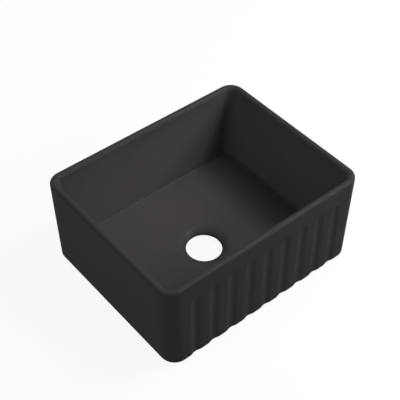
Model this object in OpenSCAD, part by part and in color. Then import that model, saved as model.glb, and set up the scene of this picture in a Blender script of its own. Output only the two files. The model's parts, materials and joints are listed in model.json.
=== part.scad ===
/* [Overall] */
// Width over the rim, end to end
width = 595; // [500:1:760]
// Depth over the rim, front to back
depth = 469; // [400:1:520]
// Height from the underside to the top of the rim
height = 256; // [200:1:280]
// Radius of the four upright outside corners
corner_r = 39; // [30:1:55]
// How far each end draws in on its way down to the foot
end_taper = 8; // [2:0.5:14]
// How far the foot of the apron stands forward of the rim
apron_reach = 5; // [2:0.5:10]

/* [Walls] */
// Thickness of the four walls, measured level
wall = 18; // [18:0.5:24]
// Thickness of the floor
floor_t = 26; // [20:0.5:36]
// Rounding of the rim's outer edge
rim_outer_r = 7.5; // [5:0.5:7.5]
// Rounding of the rim's inner edge
rim_inner_r = 10; // [5:0.5:10]
// Rounding of the edge round the underside
foot_r = 7; // [4:0.5:12]
// Rounding where the walls of the bowl meet its floor
bowl_foot_r = 5.5; // [4:0.5:12]

/* [Flutes] */
// Number of flutes across the apron
flute_count = 9; // [5:1:10]
// Width of one flute, shoulder to shoulder
flute_w = 38; // [24:1:42]
// Depth of a flute at its middle
flute_depth = 3.1; // [1.5:0.1:5]
// Plain apron between an upright corner and the first flute
flute_margin = 22.7; // [10:0.1:40]
// Distance from the top of the rim down to where the flutes have faded out
flute_drop = 46; // [26:1:80]

/* [Outlet] */
// Diameter of the waste outlet
outlet_d = 93; // [80:0.5:100]
// Length of the outlet's straight bore
outlet_bore = 4; // [3:0.5:7]
// Rounding of the outlet's edge above the bore
lip_r = 5; // [2:0.5:6]
// Radius of the wide trumpet curve from the floor down to that edge
trumpet_r = 45; // [32:1:60]
// Diameter of the recess in the underside that takes the waste fitting's nut
recess_d = 140; // [120:1:180]
// Depth of that recess
recess_depth = 8; // [3:0.5:9]
// Distance of the outlet's centre from the middle of the width
outlet_x = 0; // [-60:1:60]
// Distance of the outlet's centre behind the middle of the overall depth
outlet_y = -6.5; // [-60:0.5:60]

/* [Hidden] */

$fn = 128;
// Overrun of every cutter past what it cuts
over = 4;
// How far a rounded edge stands outside the faces that it joins, so that it crosses them cleanly
lap = 0.05;
// The same for the upright corners, small enough for the rounded edges to clear them
corner_lap = 0.01;

// The upright faces slope between these two heights, where the roundings of the rim and foot start
rim_z = height - rim_outer_r;
foot_z = foot_r;
rise = rim_z - foot_z;
taper_angle = atan(end_taper / rise);
lean_angle = atan(apron_reach / rise);

// The origin is under the middle of the overall depth, and the foot of the apron reaches furthest forward
back_y = (depth + apron_reach) / 2;
rim_front_y = back_y - depth;

// Outside of the casting at height z
function end_x(z) = width / 2 - end_taper * (rim_z - z) / rise;
function front_y(z) = rim_front_y - apron_reach * (rim_z - z) / rise;

bowl_corner_r = corner_r - wall;
inner_rim_z = height - rim_inner_r;
bowl_foot_z = floor_t + bowl_foot_r;

flute_pitch = (width - 2 * (corner_r + flute_margin) - flute_w) / (flute_count - 1);
// Radius of both curves of a flute's S-shaped side
flute_r = (pow(flute_w / 4, 2) + pow(flute_depth / 2, 2)) / flute_depth;
flute_top_z = height - flute_drop - flute_w / 2;

outlet_r = outlet_d / 2;
bore_top_z = recess_depth + outlet_bore;
lip_x = outlet_r + lip_r;
// The lip's circle touches the trumpet's circle from inside
trumpet_z = floor_t - trumpet_r;
trumpet_x = lip_x + sqrt(pow(trumpet_r - lip_r, 2) - pow(bore_top_z - trumpet_z, 2));
touch_share = lip_r / (trumpet_r - lip_r);
touch_x = lip_x - (trumpet_x - lip_x) * touch_share;
touch_z = bore_top_z + (bore_top_z - trumpet_z) * touch_share;

black_glaze = [0.09, 0.085, 0.095];

// What a rounding takes off a square edge: the edge is at the origin and the solid lies to the lower left
module edge_waste(r, lift) {
    difference() {
        translate([-r, -r]) square(r + over);
        translate([lift - r, lift - r]) circle(r);
    }
}

// Carries a section round a rounded rectangle. In the section x points out of the rectangle and y up.
module carry_round(x_half, y_front, y_back, r) {
    y_mid = (y_front + y_back) / 2;
    sides = [
        [x_half, y_mid, y_back - y_front - 2 * r],
        [0, y_back, 2 * (x_half - r)],
        [-x_half, y_mid, y_back - y_front - 2 * r],
        [0, y_front, 2 * (x_half - r)]
    ];
    corners = [
        [x_half - r, y_back - r],
        [r - x_half, y_back - r],
        [r - x_half, y_front + r],
        [x_half - r, y_front + r]
    ];
    for (i = [0 : 3]) {
        translate([sides[i][0], sides[i][1], 0])
            rotate([90, 0, 90 * i])
                linear_extrude(height = sides[i][2], center = true) children();
        translate([corners[i][0], corners[i][1], 0])
            rotate([0, 0, 90 * i])
                rotate_extrude(angle = 90) translate([r, 0]) children();
    }
}

// Block between two heights that follows the sloping outside, set in by an inset, with its upright edges rounded
module sloping_block(inset, r, z_low, z_high) {
    edges = [
        [1, back_y - inset, 0],
        [-1, back_y - inset, 0],
        [-1, rim_front_y + inset, -lean_angle],
        [1, rim_front_y + inset, -lean_angle]
    ];
    difference() {
        intersection() {
            rotate([90, 0, 0])
                linear_extrude(height = 2 * depth, center = true)
                    polygon([
                        [end_x(z_low) - inset, z_low],
                        [end_x(z_high) - inset, z_high],
                        [inset - end_x(z_high), z_high],
                        [inset - end_x(z_low), z_low]
                    ]);
            rotate([90, 0, 90])
                linear_extrude(height = 2 * width, center = true)
                    polygon([
                        [front_y(z_low) + inset, z_low],
                        [back_y - inset, z_low],
                        [back_y - inset, z_high],
                        [front_y(z_high) + inset, z_high]
                    ]);
        }
        for (i = [0 : 3])
            translate([edges[i][0] * (width / 2 - inset), edges[i][1], rim_z])
                rotate([edges[i][2], edges[i][0] * taper_angle, 0])
                    rotate([0, 0, 90 * i])
                        linear_extrude(height = 2 * height + 2 * over, center = true) edge_waste(r, corner_lap);
    }
}

// The outside of the casting before anything is cut into it
module outside() {
    difference() {
        sloping_block(0, corner_r, 0, height);
        translate([0, 0, height])
            carry_round(end_x(rim_z), front_y(rim_z), back_y, corner_r) edge_waste(rim_outer_r, lap);
        carry_round(end_x(foot_z), front_y(foot_z), back_y, corner_r) mirror([0, 1]) edge_waste(foot_r, lap);
    }
}

// The space inside the bowl, with the curve that leads over the rim's inner edge
module bowl_space() {
    difference() {
        sloping_block(wall, bowl_corner_r, floor_t, height + over);
        translate([0, 0, floor_t])
            carry_round(end_x(bowl_foot_z) - wall, front_y(bowl_foot_z) + wall, back_y - wall, bowl_corner_r)
                mirror([0, 1]) edge_waste(bowl_foot_r, lap);
    }
    translate([0, 0, height])
        carry_round(end_x(inner_rim_z) - wall, front_y(inner_rim_z) + wall, back_y - wall, bowl_corner_r)
            mirror([1, 0]) edge_waste(rim_inner_r, lap);
}

// Section across a flute: x runs across the apron, and y points out of it
module flute_section() {
    difference() {
        translate([-flute_w / 2, -flute_depth / 2]) square([flute_w, flute_depth / 2 + over]);
        for (side = [-1, 1])
            translate([side * flute_w / 2, -flute_r]) circle(flute_r);
    }
    intersection() {
        translate([0, flute_r - flute_depth]) circle(flute_r);
        translate([-flute_w / 4, -flute_depth]) square([flute_w / 2, flute_depth / 2]);
    }
}

// One flute's hollow: open at the foot, with a round end that fades into the apron at the top
module flute() {
    rotate([90, 0, 0]) linear_extrude(height = height) flute_section();
    rotate_extrude(angle = 180)
        intersection() {
            flute_section();
            translate([0, -flute_depth]) square([flute_w / 2, flute_depth + over]);
        }
}

// The row of flutes, laid along the leaning face of the apron
module flutes() {
    first = -flute_pitch * (flute_count - 1) / 2;
    translate([0, rim_front_y, rim_z])
        rotate([90 - lean_angle, 0, 0])
            for (i = [0 : flute_count - 1])
                translate([first + i * flute_pitch, flute_top_z - rim_z, lap]) flute();
}

// The outlet: a recess in the underside, a short straight bore, and a lip that opens into a trumpet up to the floor
module outlet_space() {
    translate([outlet_x, outlet_y, 0])
        rotate_extrude() {
            translate([0, -over]) square([recess_d / 2, recess_depth + over]);
            square([outlet_r, floor_t + over]);
            difference() {
                translate([0, bore_top_z]) square([touch_x, touch_z - bore_top_z]);
                translate([lip_x, bore_top_z]) circle(lip_r + lap);
            }
            difference() {
                translate([0, bore_top_z]) square([trumpet_x, floor_t - bore_top_z + over]);
                translate([trumpet_x, trumpet_z + lap]) circle(trumpet_r);
            }
        }
}

// The whole sink, one casting
module sink_body() {
    color(black_glaze)
        difference() {
            outside();
            bowl_space();
            flutes();
            outlet_space();
        }
}

sink_body();
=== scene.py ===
"""The look of a black fluted farmhouse sink: one glazed casting on a pale studio floor."""

import json
import math

import bpy
import numpy as np
from mathutils import Matrix, Vector


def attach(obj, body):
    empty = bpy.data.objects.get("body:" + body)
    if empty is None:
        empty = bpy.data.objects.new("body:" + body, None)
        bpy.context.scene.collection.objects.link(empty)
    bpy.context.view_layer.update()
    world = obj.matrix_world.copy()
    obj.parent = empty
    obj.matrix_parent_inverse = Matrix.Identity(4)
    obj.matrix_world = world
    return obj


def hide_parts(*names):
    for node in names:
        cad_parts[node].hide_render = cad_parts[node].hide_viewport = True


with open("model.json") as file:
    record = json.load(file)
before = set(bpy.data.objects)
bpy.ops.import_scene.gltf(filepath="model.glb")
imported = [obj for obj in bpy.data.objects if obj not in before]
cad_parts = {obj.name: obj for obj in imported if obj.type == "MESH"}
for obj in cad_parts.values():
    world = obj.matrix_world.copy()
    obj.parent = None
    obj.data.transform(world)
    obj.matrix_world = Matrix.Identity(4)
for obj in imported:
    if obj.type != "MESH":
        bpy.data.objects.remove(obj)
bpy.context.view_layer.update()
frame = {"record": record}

MM = 0.001
# A length that makes up for rounding in comparisons
TINY = 1e-6

# The casting's sizes, in metres, as its solid has them
WIDTH = 595 * MM
DEPTH = 469 * MM
HEIGHT = 256 * MM
WALL = 18 * MM
FLOOR_T = 26 * MM
CORNER_R = 39 * MM
# How far each end draws in towards its foot, and how far the apron leans out at its foot
END_TAPER = 8 * MM
APRON_REACH = 5 * MM
# Rounding of the rim, of the foot outside, and of the foot of the bowl's walls
RIM_OUTER_R = 7.5 * MM
RIM_INNER_R = 10 * MM
FOOT_R = 7 * MM
BOWL_FOOT_R = 5.5 * MM
# Flutes, the outer ones with a margin to the rounded corners
FLUTE_COUNT = 9
FLUTE_W = 38 * MM
FLUTE_DEPTH = 3.1 * MM
FLUTE_MARGIN = 22.7 * MM
# Waste outlet: a small curve at its lip meets a wide one that opens like a trumpet up to the floor
LIP_R = 5 * MM
TRUMPET_R = 45 * MM
# Recess in the underside
RECESS_R = 70 * MM

# Softer here than in the solid: each flute fades out over a height, up to a drop below the rim, and the edges
# of the recess and of the bore's lower end are rounded
FLUTE_FADE = 29 * MM
FLUTE_DROP = 42.5 * MM
RECESS_EDGE_R = 2 * MM
BORE_FOOT_R = 1 * MM

outlet = next(m for m in frame["record"]["mounts"] if m["name"] == "waste_outlet")
OUTLET_R = outlet["dims"]["r_mm"] * MM
OUTLET_BORE = outlet["dims"]["length_mm"] * MM
OUTLET_AT = np.array(outlet["pos_m"][:2])
RECESS_DEPTH = outlet["pos_m"][2] - OUTLET_BORE / 2
BORE_TOP_Z = RECESS_DEPTH + OUTLET_BORE
BORE_FOOT_Z = RECESS_DEPTH + BORE_FOOT_R

RIM_Z = HEIGHT - RIM_OUTER_R
INNER_RIM_Z = HEIGHT - RIM_INNER_R
BOWL_FOOT_Z = FLOOR_T + BOWL_FOOT_R
BACK_Y = (DEPTH + APRON_REACH) / 2
RISE = RIM_Z - FOOT_R
FLUTE_PITCH = (WIDTH - 2 * (CORNER_R + FLUTE_MARGIN) - FLUTE_W) / (FLUTE_COUNT - 1)
# Radius of the hollow and of the two shoulders that make up a flute's section
FLUTE_R = ((FLUTE_W / 4) ** 2 + (FLUTE_DEPTH / 2) ** 2) / FLUTE_DEPTH
FLUTE_FADE_Z = HEIGHT - FLUTE_DROP - FLUTE_FADE

# Spacing of the mesh across a flute and over the flutes' tops
FINE_STEP = 1.7 * MM
# Steps of the mesh along each stretch of a loop round the sink
APRON_MARGIN_STEPS = 8
CORNER_STEPS = 20
END_STEPS = 30
BACK_STEPS = 40
# Steps from loop to loop: out across the underside, up the outside, over the rim and down the bowl to the outlet
SMALL_EDGE_STEPS = 4
RECESS_STEPS = 6
UNDERSIDE_STEPS = 16
FOOT_STEPS = 8
FLUTE_STEPS = 22
ABOVE_FLUTE_STEPS = 6
OUTER_RIM_STEPS = 12
INNER_RIM_STEPS = 10
BOWL_WALL_STEPS = 24
BOWL_FOOT_STEPS = 10
BOWL_FLOOR_STEPS = 24
TRUMPET_STEPS = 22
LIP_STEPS = 8
# Where the loops down the bore lie, as shares of the way from its top to its rounded foot
BORE_SHARES = (0.35, 0.7)

# Matte black glaze: two close tones that drift into each other
GLAZE_COLOUR = (0.0433, 0.0396, 0.0440)
GLAZE_DRIFT = (0.0448, 0.0392, 0.0452)
# Painted shade on top of the rim, as the share of the colour taken off there, and painted light in the bowl, as
# how many times lighter the colour is written there
PAINTED_RIM_SHADE = 0.2
PAINTED_BOWL_LIGHT = 1.94
# The painted light in the bowl comes in over this depth below the rim. Less of it is painted on the floor, and
# painted shade takes part of it off again along the crease at the foot of the walls and round the outlet
PAINTED_LIGHT_DEPTH = 220 * MM
PAINTED_LIGHT_CURVE = 0.32
FLOOR_PAINTED_LIGHT_CUT = 0.47
FLOOR_PAINTED_LIGHT_RISE = 8 * MM
CREASE_PAINTED_SHADE = 0.65
OUTLET_PAINTED_SHADE = 0.5
OUTLET_PAINT_REACH = 45 * MM
# A glaze with no gloss of its own, under a faint clear coat
GLAZE_IOR = 1.5
GLAZE_GLOSS = 0
GLAZE_ROUGHNESS = (0.52, 0.68)
GLAZE_COAT = 0.045
GLAZE_COAT_ROUGHNESS = 0.18
# Texture of the glaze, as features to the metre: slow tone drift, small speckle, sheen, waviness and orange peel
DRIFT_SCALE = 9
DRIFT_DETAIL = 2
SPECKLE_SCALE = 320
SPECKLE_DETAIL = 3
SPECKLE_RANGE = (0.95, 1.05)
SHEEN_SCALE = 35
SHEEN_DETAIL = 2
WAVE_SCALE = 12
WAVE_DETAIL = 1
WAVE_HEIGHT = 0.6 * MM
PEEL_SCALE = 240
PEEL_DETAIL = 2
PEEL_HEIGHT = 0.03 * MM
# The part of a noise's range that its values mostly fill
NOISE_LOW = 0.25
NOISE_HIGH = 0.75

# Studio: a big pale floor a hair under the sink, and faint light from all round
FLOOR_HALF = 6.0
FLOOR_DROP = 0.2 * MM
FLOOR_PALE = 0.8
FLOOR_BOUNCE = 0.15
FLOOR_GLOW = 0.9
WORLD_STRENGTH = 0.03
# Soft boxes: size in metres, azimuth with 0 in front of the apron and 90 at its right-hand end, elevation, watts
LIGHT_AIM = Vector((0, 0, 0.12))
SOFT_BOX_AWAY = 2.5
BROAD_BOX = 1.2
SMALL_BOX = 0.6
SOFT_BOXES = {
    "front_left": (SMALL_BOX, 10, 35, 4),
    "front": (SMALL_BOX, 25, 35, 17),
    "front_right": (SMALL_BOX, 55, 35, 20.5),
    "right_low": (SMALL_BOX, 90, 25, 19),
    "right": (SMALL_BOX, 70, 57, 26.5),
    "top": (SMALL_BOX, 90, 72, 6.5),
    "left_low": (BROAD_BOX, 270, 15, 10),
    "left_high": (BROAD_BOX, 270, 40, 14),
    "back": (BROAD_BOX, 180, 15, 20),
}

# The photograph's camera, fitted to the sink's outline: place in metres, and turns in degrees
CAMERA_AT = (-1.0492, -1.2041, 1.8134)
CAMERA_AZIMUTH = 40.75
CAMERA_DOWN = 45.63
CAMERA_ROLL = 1.22
PHOTO_PX = 400
FOCAL_PX = 941.1
SENSOR_MM = 36


def crowded(n):
    """n + 1 numbers from 0 to 1, closer together near both ends."""
    return (1 - np.cos(np.linspace(0, np.pi, n + 1))) / 2


def arc(n, start, end):
    """Cosines and sines at n + 1 angles from start to end, in quarter turns."""
    turn = np.linspace(start, end, n + 1) * np.pi / 2
    return list(zip(np.cos(turn), np.sin(turn)))


def end_x(z):
    """Half the width of the outside at height z."""
    return WIDTH / 2 - END_TAPER * (RIM_Z - z) / RISE


def front_y(z):
    """Where the apron's face is at height z."""
    return BACK_Y - DEPTH - APRON_REACH * (RIM_Z - z) / RISE


def flute_depth(x, z):
    """How far the flutes lie below the apron's face, at points x across it and height z."""
    first = -FLUTE_PITCH * (FLUTE_COUNT - 1) / 2
    nearest = np.clip(np.round((x - first) / FLUTE_PITCH), 0, FLUTE_COUNT - 1)
    across = x - first - nearest * FLUTE_PITCH
    off = np.hypot(across, max(z - FLUTE_FADE_Z, 0) * FLUTE_W / 2 / FLUTE_FADE)
    hollow = FLUTE_DEPTH - FLUTE_R + np.sqrt(FLUTE_R**2 - np.minimum(off, FLUTE_W / 4) ** 2)
    to_edge = np.clip(FLUTE_W / 2 - off, 0, FLUTE_W / 4)
    shoulder = FLUTE_R - np.sqrt(FLUTE_R**2 - to_edge**2)
    return np.where(off < FLUTE_W / 4, hollow, shoulder)


def plan_loop(base_z, inset):
    """The outside's rounded outline at height base_z, drawn in by an inset.

    Its points are counted the same way at every height, anticlockwise from the apron's left end.
    """
    x, back, front = end_x(base_z) - inset, BACK_Y - inset, front_y(base_z) + inset
    r = CORNER_R - inset
    fluted = (FLUTE_PITCH * (FLUTE_COUNT - 1) + FLUTE_W) / 2
    flat = x - r
    margin = fluted + (flat - fluted) * crowded(APRON_MARGIN_STEPS)[1:]
    middle = np.linspace(-fluted, fluted, 2 * round(fluted / FINE_STEP) + 1)
    front_x = np.concatenate([-margin[::-1], middle, margin])
    side_y = front + r + (back - front - 2 * r) * crowded(END_STEPS)
    back_x = flat - 2 * flat * crowded(BACK_STEPS)
    turn = np.linspace(0, np.pi / 2, CORNER_STEPS + 1)[1:-1]

    def corner(side, middle_y, start):
        return np.c_[side * flat + r * np.cos(start + turn), middle_y + r * np.sin(start + turn)]

    return np.vstack(
        [
            np.c_[front_x, np.full(front_x.shape, front)],
            corner(1, front + r, -np.pi / 2),
            np.c_[np.full(side_y.shape, x), side_y],
            corner(1, back - r, 0),
            np.c_[back_x, np.full(back_x.shape, back)],
            corner(-1, back - r, np.pi / 2),
            np.c_[np.full(side_y.shape, -x), side_y[::-1]],
            corner(-1, front + r, np.pi),
        ]
    )


def at_height(plan, z):
    """A flat outline as a loop at height z."""
    return np.c_[plan, np.full(len(plan), z)]


def outside_row(base_z, z, inset):
    """A loop of the outside, with the flutes pressed into its apron."""
    plan = plan_loop(base_z, inset)
    on_apron = plan[:, 1] < front_y(base_z) + inset + TINY
    plan[:, 1] += np.where(on_apron, flute_depth(plan[:, 0], z), 0)
    return at_height(plan, z)


def inside_row(base_z, z, inset):
    """A loop of the bowl."""
    return at_height(plan_loop(base_z, inset), z)


def outlet_row(r, z):
    """A round loop about the outlet, its points in line with those of the bowl's floor."""
    spoke = plan_loop(BOWL_FOOT_Z, WALL + BOWL_FOOT_R) - OUTLET_AT
    spoke /= np.linalg.norm(spoke, axis=1, keepdims=True)
    return at_height(OUTLET_AT + r * spoke, z)


def between(first, last, shares):
    """Loops part of the way from one loop to another."""
    return [first + (last - first) * share for share in shares]


def underside_rows():
    """Loops from the bore's foot out across the recess and the underside, to where the outside begins."""
    edge = RECESS_EDGE_R
    rows = [
        outlet_row(OUTLET_R + BORE_FOOT_R * (1 - c), BORE_FOOT_Z - BORE_FOOT_R * s)
        for c, s in arc(SMALL_EDGE_STEPS, 0, 1)
    ]
    rows += between(rows[-1], outlet_row(RECESS_R - edge, RECESS_DEPTH), crowded(RECESS_STEPS)[1:-1])
    rows += [
        outlet_row(RECESS_R - edge * (1 - c), RECESS_DEPTH - edge * (1 - s))
        for c, s in arc(SMALL_EDGE_STEPS, 1, 0)
    ]
    rows += [outlet_row(RECESS_R + edge * (1 - c), edge * (1 - s)) for c, s in arc(SMALL_EDGE_STEPS, 0, 1)]
    rows += between(rows[-1], outside_row(FOOT_R, 0, FOOT_R), crowded(UNDERSIDE_STEPS)[1:-1])
    return rows


def outside_rows():
    """Loops from the foot up the fluted outside, to the top of the rim."""
    rows = [outside_row(FOOT_R, FOOT_R * (1 - s), FOOT_R * (1 - c)) for c, s in arc(FOOT_STEPS, 1, 0)]
    straight = FOOT_R + (FLUTE_FADE_Z - FOOT_R) * crowded(FLUTE_STEPS)[1:-1]
    tops = np.arange(FLUTE_FADE_Z, FLUTE_FADE_Z + FLUTE_FADE + FINE_STEP, FINE_STEP)
    above = tops[-1] + (RIM_Z - tops[-1]) * crowded(ABOVE_FLUTE_STEPS)[1:]
    rows += [outside_row(z, z, 0) for z in np.concatenate([straight, tops, above])]
    rows += [
        outside_row(RIM_Z, RIM_Z + RIM_OUTER_R * s, RIM_OUTER_R * (1 - c))
        for c, s in arc(OUTER_RIM_STEPS, 0, 1)[1:]
    ]
    return rows


def bowl_rows():
    """Loops from the top of the rim down the bowl's walls, to the edge of its floor."""
    rows = [
        inside_row(INNER_RIM_Z, INNER_RIM_Z + RIM_INNER_R * s, WALL - RIM_INNER_R * (1 - c))
        for c, s in arc(INNER_RIM_STEPS, 1, 0)
    ]
    walls = INNER_RIM_Z + (BOWL_FOOT_Z - INNER_RIM_Z) * crowded(BOWL_WALL_STEPS)[1:-1]
    rows += [inside_row(z, z, WALL) for z in walls]
    rows += [
        inside_row(BOWL_FOOT_Z, BOWL_FOOT_Z - BOWL_FOOT_R * s, WALL + BOWL_FOOT_R * (1 - c))
        for c, s in arc(BOWL_FOOT_STEPS, 0, 1)
    ]
    return rows


def outlet_rows(floor_row):
    """Loops from the edge of the bowl's floor across it and down the outlet, to just above the bore's foot."""
    # The lip's small curve touches the bore and the trumpet: its centre stands off both by its own radius
    lip_x = OUTLET_R + LIP_R
    reach = TRUMPET_R - LIP_R
    trumpet_x = lip_x + math.sqrt(reach**2 - (BORE_TOP_Z - FLOOR_T + TRUMPET_R) ** 2)
    meet = math.asin((trumpet_x - lip_x) / reach) / (np.pi / 2)
    rows = between(floor_row, outlet_row(trumpet_x, FLOOR_T), crowded(BOWL_FLOOR_STEPS)[1:-1])
    rows += [
        outlet_row(trumpet_x - TRUMPET_R * s, FLOOR_T - TRUMPET_R * (1 - c))
        for c, s in arc(TRUMPET_STEPS, 0, meet)
    ]
    rows += [outlet_row(lip_x - LIP_R * s, BORE_TOP_Z + LIP_R * c) for c, s in arc(LIP_STEPS, meet, 1)[1:]]
    rows += [outlet_row(OUTLET_R, BORE_TOP_Z + (BORE_FOOT_Z - BORE_TOP_Z) * share) for share in BORE_SHARES]
    return rows


def glaze_lightness(rows):
    """Painted light and shade at each point, as a factor on the glaze's colour: 1 outside, painted shade on top
    of the rim, painted light down in the bowl.
    """
    x, y, z = np.moveaxis(rows, -1, 0)
    middle_y = (BACK_Y + front_y(z)) / 2
    past_x = np.maximum(np.abs(x) - end_x(z) + CORNER_R, 0)
    past_y = np.maximum(np.abs(y - middle_y) - BACK_Y + middle_y + CORNER_R, 0)
    drawn_in = CORNER_R - np.hypot(past_x, past_y)
    inside = (drawn_in > WALL - RIM_INNER_R - TINY) & (z > BORE_TOP_Z)
    # The painted light begins half-way down the rim's inner rounding
    down = np.clip((INNER_RIM_Z + RIM_INNER_R / 2 - z) / PAINTED_LIGHT_DEPTH, 0, 1)
    on_floor = np.clip(1 - (z - FLOOR_T) / FLOOR_PAINTED_LIGHT_RISE, 0, 1)
    # Painted shade along the crease at the foot of the bowl's walls
    up_foot = np.clip((z - FLOOR_T) / BOWL_FOOT_R, 0, 1)
    crease_shade = np.sin(np.pi * np.sqrt(up_foot))
    # Painted shade round the outlet
    from_outlet = np.hypot(x - OUTLET_AT[0], y - OUTLET_AT[1]) - OUTLET_R
    at_outlet = (1 - np.clip(from_outlet / OUTLET_PAINT_REACH, 0, 1)) ** 2
    # How much of the painted light in the bowl is kept on the floor, at the crease and round the outlet
    light_kept = (1 - FLOOR_PAINTED_LIGHT_CUT * on_floor) * (1 - CREASE_PAINTED_SHADE * crease_shade)
    light_kept *= 1 - OUTLET_PAINTED_SHADE * at_outlet
    bowl_painted_light = np.where(inside, (PAINTED_BOWL_LIGHT - 1) * down**PAINTED_LIGHT_CURVE * light_kept, 0)
    # Painted shade on top of the rim
    on_rim = np.clip((z - INNER_RIM_Z) / RIM_INNER_R, 0, 1)
    return 1 + bowl_painted_light - PAINTED_RIM_SHADE * on_rim


def build_casting():
    """The casting's skin as one closed mesh of quads, from the bore's foot round the casting and back to it."""
    bowl = bowl_rows()
    rows = np.array(underside_rows() + outside_rows() + bowl + outlet_rows(bowl[-1]))
    n_rows, n = rows.shape[:2]
    here = np.arange(n_rows * n).reshape(n_rows, n)
    next_row, next_point = np.roll(here, -1, 0), np.roll(here, -1, 1)
    faces = np.stack([here, next_point, np.roll(next_row, -1, 1), next_row], -1).reshape(-1, 4)
    mesh = bpy.data.meshes.new("glazed_casting")
    mesh.from_pydata(rows.reshape(-1, 3).tolist(), [], faces.tolist())
    mesh.validate()
    mesh.shade_smooth()
    # Painted light and shade, kept on the mesh for the glaze's colour
    painted_shading = mesh.attributes.new("glaze_lightness", "FLOAT", "POINT")
    painted_shading.data.foreach_set("value", glaze_lightness(rows).reshape(-1))
    piece = bpy.data.objects.new("glazed_casting", mesh)
    bpy.context.scene.collection.objects.link(piece)
    return piece


def socket_values(node, **values):
    """Sets sockets of a node by name, with spaces written as underscores."""
    for name, value in values.items():
        node.inputs[name.replace("_", " ")].default_value = value


def grey(value):
    """A colour with no hue."""
    return (value, value, value, 1)


def add_noise(nodes, links, place, scale, detail, low=0.0, high=1.0):
    """A socket that wanders between two values over the surface, with so many features to the metre."""
    noise = nodes.new("ShaderNodeTexNoise")
    socket_values(noise, Scale=scale, Detail=detail)
    links.new(place, noise.inputs["Vector"])
    spread = nodes.new("ShaderNodeMapRange")
    socket_values(spread, From_Min=NOISE_LOW, From_Max=NOISE_HIGH, To_Min=low, To_Max=high)
    links.new(noise.outputs["Fac"], spread.inputs["Value"])
    return spread.outputs["Result"]


def add_math(nodes, links, operation, *values):
    """A maths node on sockets and plain numbers."""
    node = nodes.new("ShaderNodeMath")
    node.operation = operation
    for socket, value in zip(node.inputs, values):
        if isinstance(value, (int, float)):
            socket.default_value = value
        else:
            links.new(value, socket)
    return node.outputs[0]


def add_bump(nodes, links, height, distance, normal=None):
    """The surface normal that a height gives, on top of an earlier one."""
    bump = nodes.new("ShaderNodeBump")
    socket_values(bump, Distance=distance)
    links.new(height, bump.inputs["Height"])
    if normal:
        links.new(normal, bump.inputs["Normal"])
    return bump.outputs["Normal"]


def black_glaze():
    """Matte black glaze over fireclay: drifting tone, fine speckle, uneven sheen, slow waves and orange peel, its
    colour scaled by painted light and shade.
    """
    material = bpy.data.materials.new("black_glaze")
    material.use_nodes = True
    nodes, links = material.node_tree.nodes, material.node_tree.links
    shader = nodes["Principled BSDF"]
    socket_values(shader, IOR=GLAZE_IOR, Specular_IOR_Level=GLAZE_GLOSS)
    socket_values(shader, Coat_Weight=GLAZE_COAT, Coat_Roughness=GLAZE_COAT_ROUGHNESS)
    place = nodes.new("ShaderNodeTexCoord").outputs["Object"]

    tone = nodes.new("ShaderNodeMix")
    tone.data_type = "RGBA"
    tone.inputs["A"].default_value = (*GLAZE_COLOUR, 1)
    tone.inputs["B"].default_value = (*GLAZE_DRIFT, 1)
    links.new(add_noise(nodes, links, place, DRIFT_SCALE, DRIFT_DETAIL), tone.inputs["Factor"])

    # The colour is scaled by the painted light and shade kept on the mesh
    painted_shading = nodes.new("ShaderNodeAttribute")
    painted_shading.attribute_name = "glaze_lightness"
    speckle = add_noise(nodes, links, place, SPECKLE_SCALE, SPECKLE_DETAIL, *SPECKLE_RANGE)
    shade = nodes.new("ShaderNodeVectorMath")
    shade.operation = "SCALE"
    links.new(tone.outputs["Result"], shade.inputs["Vector"])
    links.new(add_math(nodes, links, "MULTIPLY", painted_shading.outputs["Fac"], speckle), shade.inputs["Scale"])
    links.new(shade.outputs["Vector"], shader.inputs["Base Color"])

    sheen = add_noise(nodes, links, place, SHEEN_SCALE, SHEEN_DETAIL, *GLAZE_ROUGHNESS)
    links.new(sheen, shader.inputs["Roughness"])
    waves = add_bump(nodes, links, add_noise(nodes, links, place, WAVE_SCALE, WAVE_DETAIL), WAVE_HEIGHT)
    peel_height = add_noise(nodes, links, place, PEEL_SCALE, PEEL_DETAIL)
    links.new(add_bump(nodes, links, peel_height, PEEL_HEIGHT, waves), shader.inputs["Normal"])
    return material


def seen_share(nodes, links, share):
    """A socket that is share for rays from the camera, off gloss and through clear things, and 0 for others."""
    path = nodes.new("ShaderNodeLightPath")
    seen = path.outputs["Is Camera Ray"]
    for kind in ("Is Glossy Ray", "Is Transmission Ray"):
        seen = add_math(nodes, links, "MAXIMUM", seen, path.outputs[kind])
    return add_math(nodes, links, "MULTIPLY", seen, share)


def mix_to_output(tree, share, first, second):
    """Sends two shaders to the tree's output, the second by its share."""
    mix = tree.nodes.new("ShaderNodeMixShader")
    tree.links.new(share, mix.inputs[0])
    tree.links.new(first.outputs[0], mix.inputs[1])
    tree.links.new(second.outputs[0], mix.inputs[2])
    output = next(node for node in tree.nodes if node.type.startswith("OUTPUT"))
    tree.links.new(mix.outputs[0], output.inputs["Surface"])


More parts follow.
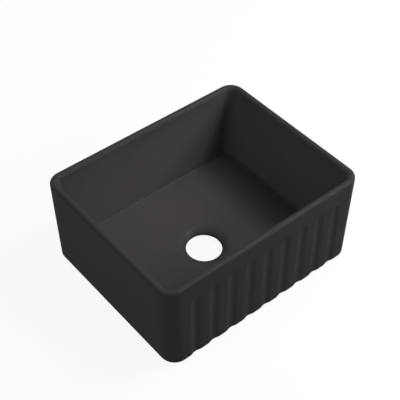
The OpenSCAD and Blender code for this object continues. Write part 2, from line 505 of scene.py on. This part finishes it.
def studio_floor():
    """Pale floor that reads as white, keeps a faint shadow and throws little light back at the sink."""
    mesh = bpy.data.meshes.new("studio_floor")
    corners = [(x * FLOOR_HALF, y * FLOOR_HALF, -FLOOR_DROP) for x, y in ((-1, -1), (1, -1), (1, 1), (-1, 1))]
    mesh.from_pydata(corners, [], [(0, 1, 2, 3)])
    floor = bpy.data.objects.new("studio_floor", mesh)
    bpy.context.scene.collection.objects.link(floor)
    material = bpy.data.materials.new("pale_floor")
    material.use_nodes = True
    nodes, links = material.node_tree.nodes, material.node_tree.links
    shader = nodes["Principled BSDF"]
    socket_values(shader, Roughness=1.0, Specular_IOR_Level=0.0)
    colour = nodes.new("ShaderNodeMix")
    colour.data_type = "RGBA"
    colour.inputs["A"].default_value = grey(FLOOR_BOUNCE)
    colour.inputs["B"].default_value = grey(FLOOR_PALE)
    links.new(seen_share(nodes, links, 1.0), colour.inputs["Factor"])
    links.new(colour.outputs["Result"], shader.inputs["Base Color"])
    glow = nodes.new("ShaderNodeEmission")
    mix_to_output(material.node_tree, seen_share(nodes, links, FLOOR_GLOW), shader, glow)
    mesh.materials.append(material)


def studio_world():
    """Faint even light from all round, seen as white."""
    world = bpy.data.worlds.new("studio")
    bpy.context.scene.world = world
    world.use_nodes = True
    nodes, links = world.node_tree.nodes, world.node_tree.links
    light = nodes["Background"]
    socket_values(light, Color=grey(1), Strength=WORLD_STRENGTH)
    white = nodes.new("ShaderNodeBackground")
    socket_values(white, Color=grey(1))
    mix_to_output(world.node_tree, seen_share(nodes, links, 1.0), light, white)


def soft_box(name, size, azimuth, elevation, power):
    """A square soft box aimed at the sink."""
    az, el = math.radians(azimuth), math.radians(elevation)
    away = Vector((math.cos(el) * math.sin(az), -math.cos(el) * math.cos(az), math.sin(el)))
    data = bpy.data.lights.new(name, "AREA")
    data.shape, data.size, data.energy = "SQUARE", size, power
    lamp = bpy.data.objects.new(name, data)
    lamp.location = LIGHT_AIM + away * SOFT_BOX_AWAY
    lamp.rotation_euler = (-away).to_track_quat("-Z", "Y").to_euler()
    lamp.visible_camera = False
    bpy.context.scene.collection.objects.link(lamp)


def photo_camera():
    """The camera at the photograph's viewing angle."""
    data = bpy.data.cameras.new("photo_camera")
    data.sensor_width = SENSOR_MM
    data.lens = SENSOR_MM * FOCAL_PX / PHOTO_PX
    camera = bpy.data.objects.new("photo_camera", data)
    turn = Matrix.Rotation(math.radians(-CAMERA_AZIMUTH), 4, "Z")
    tip = Matrix.Rotation(math.radians(90 - CAMERA_DOWN), 4, "X")
    roll = Matrix.Rotation(math.radians(CAMERA_ROLL), 4, "Z")
    camera.matrix_world = Matrix.Translation(CAMERA_AT) @ turn @ tip @ roll
    bpy.context.scene.collection.objects.link(camera)
    bpy.context.scene.camera = camera


photo_camera()
casting = build_casting()
casting.data.materials.append(black_glaze())
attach(casting, "root")
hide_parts("sink_body")

studio_floor()
studio_world()
for box_name, settings in SOFT_BOXES.items():
    soft_box(box_name, *settings)

bpy.context.scene.view_settings.view_transform = "Standard"
